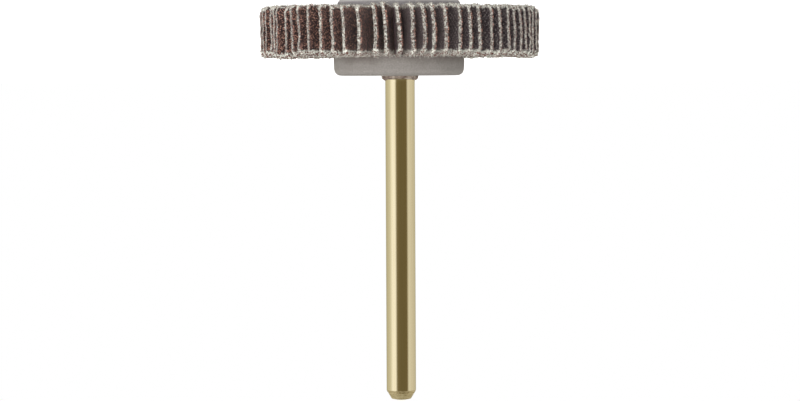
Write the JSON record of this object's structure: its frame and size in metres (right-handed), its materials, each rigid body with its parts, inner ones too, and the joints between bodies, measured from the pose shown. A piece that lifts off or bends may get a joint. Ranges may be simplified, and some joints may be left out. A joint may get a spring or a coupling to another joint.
{
  "type": "flap wheel",
  "caption": "Mounted flap wheel: radial strips of abrasive cloth set in a flanged resin core on a plain round shank.",
  "frame": {"origin": "centre of the core's front face, which is the face away from the shank and the lowest one", "axes": "+Z along the shank, from the core's front face to the shank's free end"},
  "size_m": [0.03, 0.03, 0.0435],
  "materials": {
    "shank": "drawn",
    "core": "cast, matte",
    "flap": "coated abrasive cloth"
  },
  "bodies": {
    "root": {"shank": "shank", "core": "core", "flap_pair_01": "flap", "flap_pair_02": "flap", "flap_pair_03": "flap", "flap_pair_04": "flap", "flap_pair_05": "flap", "flap_pair_06": "flap", "flap_pair_07": "flap", "flap_pair_08": "flap", "flap_pair_09": "flap", "flap_pair_10": "flap", "flap_pair_11": "flap", "flap_pair_12": "flap", "flap_pair_13": "flap", "flap_pair_14": "flap", "flap_pair_15": "flap", "flap_pair_16": "flap", "flap_pair_17": "flap", "flap_pair_18": "flap", "flap_pair_19": "flap", "flap_pair_20": "flap", "flap_pair_21": "flap", "flap_pair_22": "flap", "flap_pair_23": "flap", "flap_pair_24": "flap", "flap_pair_25": "flap", "flap_pair_26": "flap", "flap_pair_27": "flap", "flap_pair_28": "flap", "flap_pair_29": "flap", "flap_pair_30": "flap", "flap_pair_31": "flap", "flap_pair_32": "flap", "flap_pair_33": "flap", "flap_pair_34": "flap", "flap_pair_35": "flap", "flap_pair_36": "flap"}
  },
  "joints": []
}
